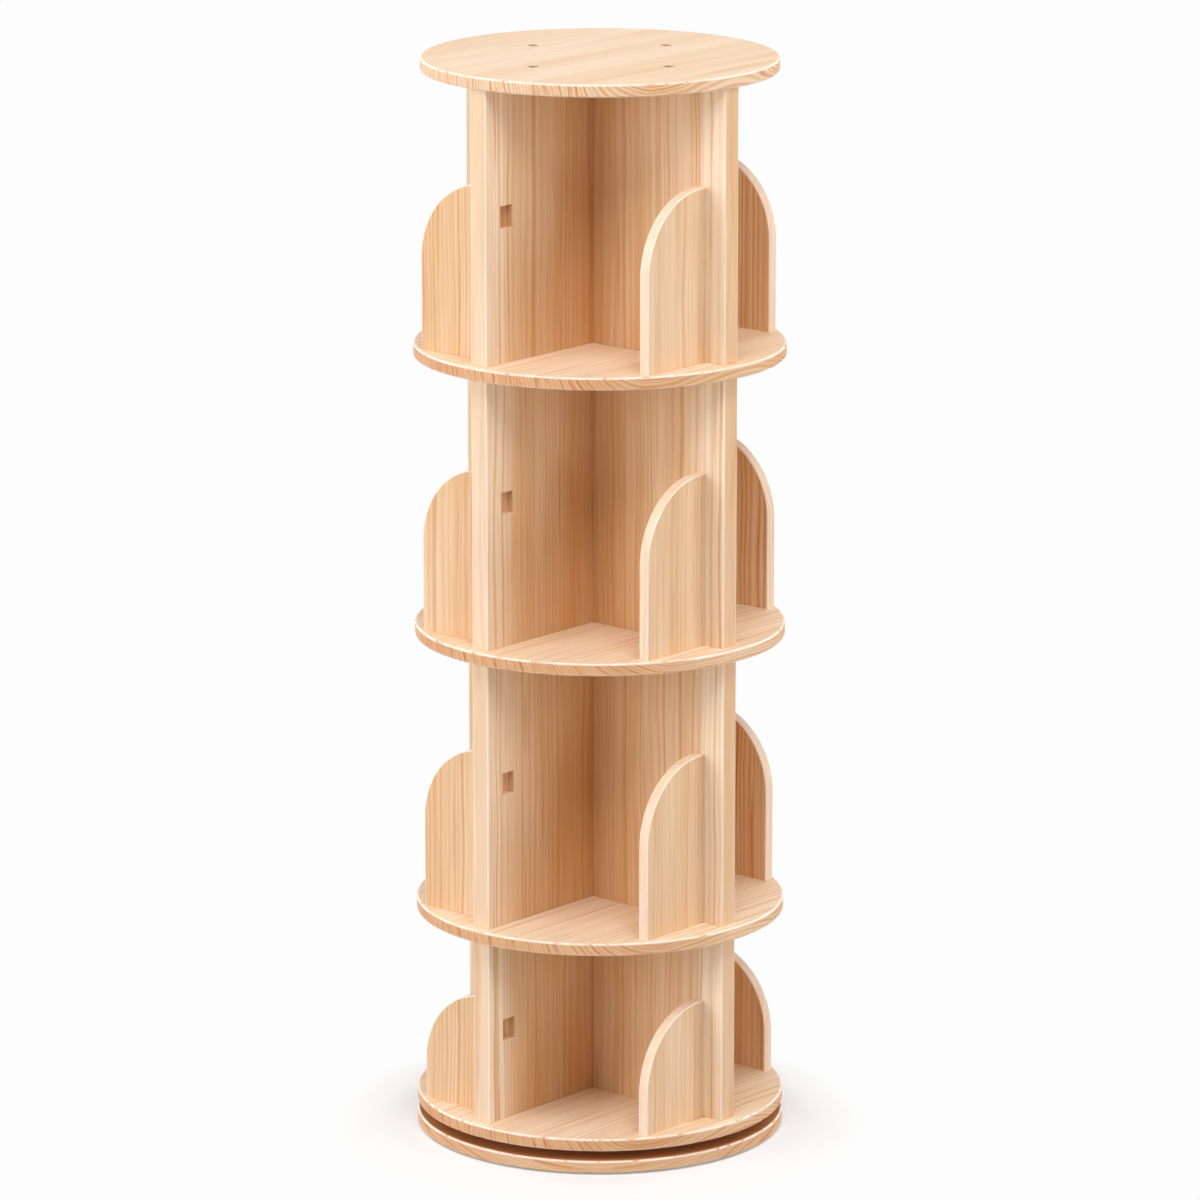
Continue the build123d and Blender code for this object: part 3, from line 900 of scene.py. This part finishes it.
# %% [markdown]
# Fibres lighten and darken that colour in fine streaks, cut ends multiply it by the colour of oil, and
# sanded edges go over to a pale one, which is also a painted highlight, more in one place than in the next.

# %% Fibres, ends and sanded edges of the pine
fibre_across, fibre_along = 1.6 * MM, 70 * MM  # real fibres are finer, but these have to show
fibre_span = (0.25, 0.75)  # values of their noise that give the darkest and the palest streak
fibre_streak = (0.91, 1.06)
end_darkness = 0.75
end_colour = linear("#e0b383")
worn_highlight_across, worn_highlight_along = 14 * MM, 150 * MM
worn_highlight_span, worn_highlight_range = (0.35, 0.65), (0.6, 1.0)  # from its noise to how pale an edge goes
# the pale colour of the edges stands for sanding and is also a painted highlight
sanded_highlight_colour = linear("#fff0e3")

fibre = stretched(fibre_across, fibre_along)
fibre = add_node(
    tree,
    "ShaderNodeTexNoise",
    {},
    {"Vector": fibre, "Scale": 1.0, "Detail": 3.0, "Roughness": 0.6},
)
streak = add_node(
    tree,
    "ShaderNodeMapRange",
    {},
    {
        "Value": fibre,
        "From Min": fibre_span[0],
        "From Max": fibre_span[1],
        "To Min": fibre_streak[0],
        "To Max": fibre_streak[1],
    },
)
colour = add_node(tree, "ShaderNodeVectorMath", {"operation": "SCALE"}, {0: colour, "Scale": streak})
# the end mark also holds the painted shade of the faces beside the turntable gap
end_share = add_node(tree, "ShaderNodeMath", {"operation": "MULTIPLY"}, {0: end, 1: end_darkness})
colour = add_node(
    tree,
    "ShaderNodeMix",
    {"data_type": "RGBA", "blend_type": "MULTIPLY"},
    {FACTOR: end_share, COLOUR_A: colour, COLOUR_B: end_colour},
    MIXED,
)
patch = stretched(worn_highlight_across, worn_highlight_along)
patch = add_node(tree, "ShaderNodeTexNoise", {}, {"Vector": patch, "Scale": 1.0, "Detail": 2.0})
patch = add_node(
    tree,
    "ShaderNodeMapRange",
    {},
    {
        "Value": patch,
        "From Min": worn_highlight_span[0],
        "From Max": worn_highlight_span[1],
        "To Min": worn_highlight_range[0],
        "To Max": worn_highlight_range[1],
    },
)
worn_highlight_mix = add_node(
    tree, "ShaderNodeMath", {"operation": "MULTIPLY", "use_clamp": True}, {0: worn_highlight, 1: patch}
)
colour = add_node(
    tree,
    "ShaderNodeMix",
    {"data_type": "RGBA"},
    {FACTOR: worn_highlight_mix, COLOUR_A: colour, COLOUR_B: sanded_highlight_colour},
    MIXED,
)
print("pine nodes so far", len(tree.nodes))

# %% [markdown]
# The same fibres and lines give the uneven gloss and the slight relief that a hand feels on oiled
# pine. The oil is thin and matt, so the gloss stays low.

# %% Gloss and relief of the pine
line_relief = 0.6  # height of a line against that of the fibres
pine_relief, pine_relief_depth = 0.25, 0.15 * MM
pine_rough = (0.66, 0.5)  # between the fibres and on them

sheen = add_node(
    tree, "ShaderNodeMapRange", {}, {"Value": fibre, "To Min": pine_rough[0], "To Max": pine_rough[1]}
)
height = add_node(
    tree, "ShaderNodeMath", {"operation": "MULTIPLY_ADD"}, {0: line, 1: line_relief, 2: fibre}
)
relief = add_node(
    tree,
    "ShaderNodeBump",
    {},
    {"Strength": pine_relief, "Distance": pine_relief_depth, "Height": height},
    "Normal",
)
shader = add_node(
    tree,
    "ShaderNodeBsdfPrincipled",
    {},
    {"Base Color": colour, "Roughness": sheen, "IOR": 1.5, "Normal": relief},
)
add_node(tree, "ShaderNodeOutputMaterial", {}, {"Surface": shader})
for piece in wood_pieces:
    piece.data.materials.append(pine)
print("pine on", len(wood_pieces), "pieces")

# %% [markdown]
# ## Fittings
# The CAD pieces that stay are the turntable, its balls, cage and screws, the boards' screws, the
# dowels and the felt pads. Most are out of sight, but each is still made of something. The
# turntable's rings were turned in a lathe, which leaves fine circles about the axis, so their
# pattern is drawn by distance from the axis. The other finishes are uneven in every direction.

# %% A finish in cells of a real size
fitting_relief = 0.4


def fitting_material(name, dark, light, cell, metallic, rough, relief_depth, lathe=False):
    """A finish that varies between two colours in cells of a real size, with matching roughness and
    relief. On a lathe piece the cells are rings, since they depend only on the distance from the
    axis and on the height."""
    material, tree = new_material(name)
    spot = add_node(tree, "ShaderNodeTexCoord", output="Object")
    if lathe:
        height = add_node(tree, "ShaderNodeSeparateXYZ", {}, {"Vector": spot}, "Z")
        level = add_node(tree, "ShaderNodeVectorMath", {"operation": "MULTIPLY"}, {0: spot, 1: (1, 1, 0)})
        reach = add_node(tree, "ShaderNodeVectorMath", {"operation": "LENGTH"}, {0: level}, "Value")
        spot = add_node(tree, "ShaderNodeCombineXYZ", {}, {"X": reach, "Y": height})
    cloud = add_node(
        tree,
        "ShaderNodeTexNoise",
        {},
        {"Vector": spot, "Scale": 1 / cell, "Detail": 4.0, "Roughness": 0.6},
    )
    mottle = add_node(
        tree,
        "ShaderNodeMapRange",
        {},
        {"Value": cloud, "From Min": noise_span[0], "From Max": noise_span[1]},
    )
    colour = add_node(
        tree,
        "ShaderNodeMix",
        {"data_type": "RGBA"},
        {FACTOR: mottle, COLOUR_A: linear(dark), COLOUR_B: linear(light)},
        MIXED,
    )
    gloss = add_node(
        tree, "ShaderNodeMapRange", {}, {"Value": cloud, "To Min": rough[0], "To Max": rough[1]}
    )
    relief = add_node(
        tree,
        "ShaderNodeBump",
        {},
        {"Strength": fitting_relief, "Distance": relief_depth, "Height": cloud},
        "Normal",
    )
    shader = add_node(
        tree,
        "ShaderNodeBsdfPrincipled",
        {},
        {"Base Color": colour, "Metallic": metallic, "Roughness": gloss, "Normal": relief},
    )
    add_node(tree, "ShaderNodeOutputMaterial", {}, {"Surface": shader})
    return material


print("relief of the fittings", fitting_relief)

# %% [markdown]
# Each finish is named for what the piece is made of and how its surface was made. Its two colours, the
# size of its cells and its roughness follow from that.

# %% Finishes of the fittings
finishes = {
    # bronzed screw heads are a soft brown and a little uneven
    "bronzed_steel": fitting_material(
        "bronzed_steel", "#977a60", "#b2957a", 1.5 * MM, 1, (0.45, 0.65), 0.05 * MM
    ),
    # zinc plating is bluish grey with paler clouds
    "zinc_steel": fitting_material(
        "zinc_plated_steel", "#b9bcc2", "#d8d9d4", 2 * MM, 1, (0.25, 0.5), 0.03 * MM
    ),
    # turned rings show bright and dull circles; real ones are finer than these
    "ring_aluminium": fitting_material(
        "turned_aluminium", "#c6c8ca", "#e0e1e1", 0.5 * MM, 1, (0.25, 0.5), 0.02 * MM, lathe=True
    ),
    # ground and polished balls are nearly mirrors
    "ball_steel": fitting_material(
        "bearing_steel", "#c2c4c6", "#d2d3d4", 3 * MM, 1, (0.08, 0.2), 0.005 * MM
    ),
    # moulded nylon is milky and half matt
    "cage_nylon": fitting_material(
        "moulded_nylon", "#d9d5c8", "#ebe8de", 3 * MM, 0, (0.4, 0.55), 0.03 * MM
    ),
    # pressed felt is matt, with clumps of darker and paler fibres
    "felt": fitting_material(
        "pressed_felt", "#5b5148", "#857969", 1.2 * MM, 0, (0.9, 1.0), 0.3 * MM
    ),
    # beech dowels are redder than the pine, with small flecks
    "beech": fitting_material(
        "planed_beech", "#c9986c", "#e0b88c", 2 * MM, 0, (0.5, 0.65), 0.05 * MM
    ),
}
fittings = [part for part in frame["record"]["subparts"] if part["material_slot"] in finishes]
for part in fittings:
    slots = frame["nodes"][part["node"]].data.materials
    slots.clear()
    slots.append(finishes[part["material_slot"]])
print("finished fittings", len(fittings))

# %% [markdown]
# ## Studio
# The photograph is a cut-out on white with hardly a shadow. The sky looks white to the camera and in
# reflections but gives the wood hardly any light, so what the lamps don't reach is lit by the wood
# around it, and goes dark and warm. The floor keeps the thin shadow where the base meets it, and goes
# over to plain white a little further out.

# %% Sky
white = linear("#fdfdfd")
sky_level = 0.08


def seen_share(tree):
    """1 for a ray that shows a surface, to the camera, in a reflection or through glass; 0 for light."""
    camera, glossy, clear = (
        add_node(tree, "ShaderNodeLightPath", output=f"Is {kind} Ray")
        for kind in ("Camera", "Glossy", "Transmission")
    )
    either = add_node(tree, "ShaderNodeMath", {"operation": "MAXIMUM"}, {0: camera, 1: glossy})
    return add_node(tree, "ShaderNodeMath", {"operation": "MAXIMUM"}, {0: either, 1: clear})


sky = bpy.data.worlds.new("studio_sky")
bpy.context.scene.world = sky
sky.use_nodes = True
tree = sky.node_tree
tree.nodes.clear()
strength = add_node(
    tree, "ShaderNodeMapRange", {}, {"Value": seen_share(tree), "To Min": sky_level, "To Max": 1.0}
)
backdrop = add_node(tree, "ShaderNodeBackground", {}, {"Color": white, "Strength": strength})
add_node(tree, "ShaderNodeOutputWorld", {}, {"Surface": backdrop})
print("sky level", sky_level)

# %% Floor
floor_half = 12.0
floor_seen = linear("#f6f6f6")
floor_bounce = linear("#c9c6c2")  # what the wood gets from below is less than the floor's look
floor_lift = 0.25  # share of plain white in what is seen of the floor by the base
floor_near, floor_far = 0.22, 0.34  # from here to there the floor goes over to plain white

floor_mesh = bpy.data.meshes.new("floor")
floor_corners = floor_half * np.array([(-1, -1, 0), (1, -1, 0), (1, 1, 0), (-1, 1, 0)], float)
floor_mesh.from_pydata(floor_corners, [], [(0, 1, 2, 3)])
floor = bpy.data.objects.new("floor", floor_mesh)
bpy.context.scene.collection.objects.link(floor)
floor_paint, tree = new_material("white_floor")
seen = seen_share(tree)
spot = add_node(tree, "ShaderNodeTexCoord", output="Object")
away = add_node(tree, "ShaderNodeVectorMath", {"operation": "LENGTH"}, {0: spot}, "Value")
lift = add_node(
    tree,
    "ShaderNodeMapRange",
    smooth,
    {"Value": away, "From Min": floor_near, "From Max": floor_far, "To Min": floor_lift, "To Max": 1.0},
)
lift = add_node(tree, "ShaderNodeMath", {"operation": "MULTIPLY"}, {0: lift, 1: seen})
paint = add_node(
    tree,
    "ShaderNodeMix",
    {"data_type": "RGBA"},
    {FACTOR: seen, COLOUR_A: floor_bounce, COLOUR_B: floor_seen},
    MIXED,
)
matt = add_node(tree, "ShaderNodeBsdfDiffuse", {}, {"Color": paint})
glow = add_node(tree, "ShaderNodeEmission", {}, {"Color": white, "Strength": 1.0})
shader = add_node(tree, "ShaderNodeMixShader", {}, {0: lift, 1: matt, 2: glow})
add_node(tree, "ShaderNodeOutputMaterial", {}, {"Surface": shader})
floor_mesh.materials.append(floor_paint)
print("floor half width", floor_half)

# %% [markdown]
# Wide soft lamps stand low on the left and on the right, so the walls are bright at their outer ends
# and darker towards the axis. A smaller one, nearer to the camera on the left, brightens the walls
# that face that way, and one high in front lights the shelves and the top. Two weaker ones stand
# behind for the far side. The camera stands far away behind a long lens, as for a product picture.

# %% Lamps and camera
view_azimuth, view_elevation = 40.8, 13.7  # degrees
view_distance = 8.0
view_level = 0.6448  # height on the axis that the camera and the lamps look at
focal_pixels = 6730
frame_pixels = 1200
sensor_width = 36
lamp_distance = 6.0
lamps = {  # degrees round from the camera, degrees up, width in metres, power in watts
    "left_lamp": (-70, 7, 5.0, 182),
    "right_lamp": (70, 8, 5.0, 212),
    "near_left_lamp": (-52, 10, 3.4, 86),
    "front_lamp": (4, 60, 3.4, 252),
    "back_left_lamp": (-130, 22, 3.4, 140),
    "back_right_lamp": (130, 22, 3.4, 120),
}


def stand_at(name, data, azimuth, elevation, distance):
    """An object that looks at the axis from a distance, in the direction (sin a cos e, -cos a cos e,
    sin e), so that an azimuth of 0 is -Y and one of 90 degrees is +X."""
    azimuth, elevation = math.radians(azimuth), math.radians(elevation)
    level = math.cos(elevation)
    back = np.array([math.sin(azimuth) * level, -math.cos(azimuth) * level, math.sin(elevation)])
    stand = bpy.data.objects.new(name, data)
    stand.location = np.array([0, 0, view_level]) + distance * back
    stand.rotation_mode = "QUATERNION"
    stand.rotation_quaternion = Vector(back).to_track_quat("Z", "Y")
    bpy.context.scene.collection.objects.link(stand)
    return stand


for name, (azimuth, elevation, width, power) in lamps.items():
    lamp = bpy.data.lights.new(name, "AREA")
    lamp.energy, lamp.size = power, width
    stand_at(name, lamp, view_azimuth + azimuth, elevation, lamp_distance)

camera = bpy.data.cameras.new("camera")
camera.lens = focal_pixels / frame_pixels * sensor_width
camera.sensor_width = sensor_width
bpy.context.scene.camera = stand_at("camera", camera, view_azimuth, view_elevation, view_distance)
bpy.context.scene.view_settings.view_transform = "Standard"
print("lamps", len(lamps), "camera lens", round(camera.lens, 1), "mm")
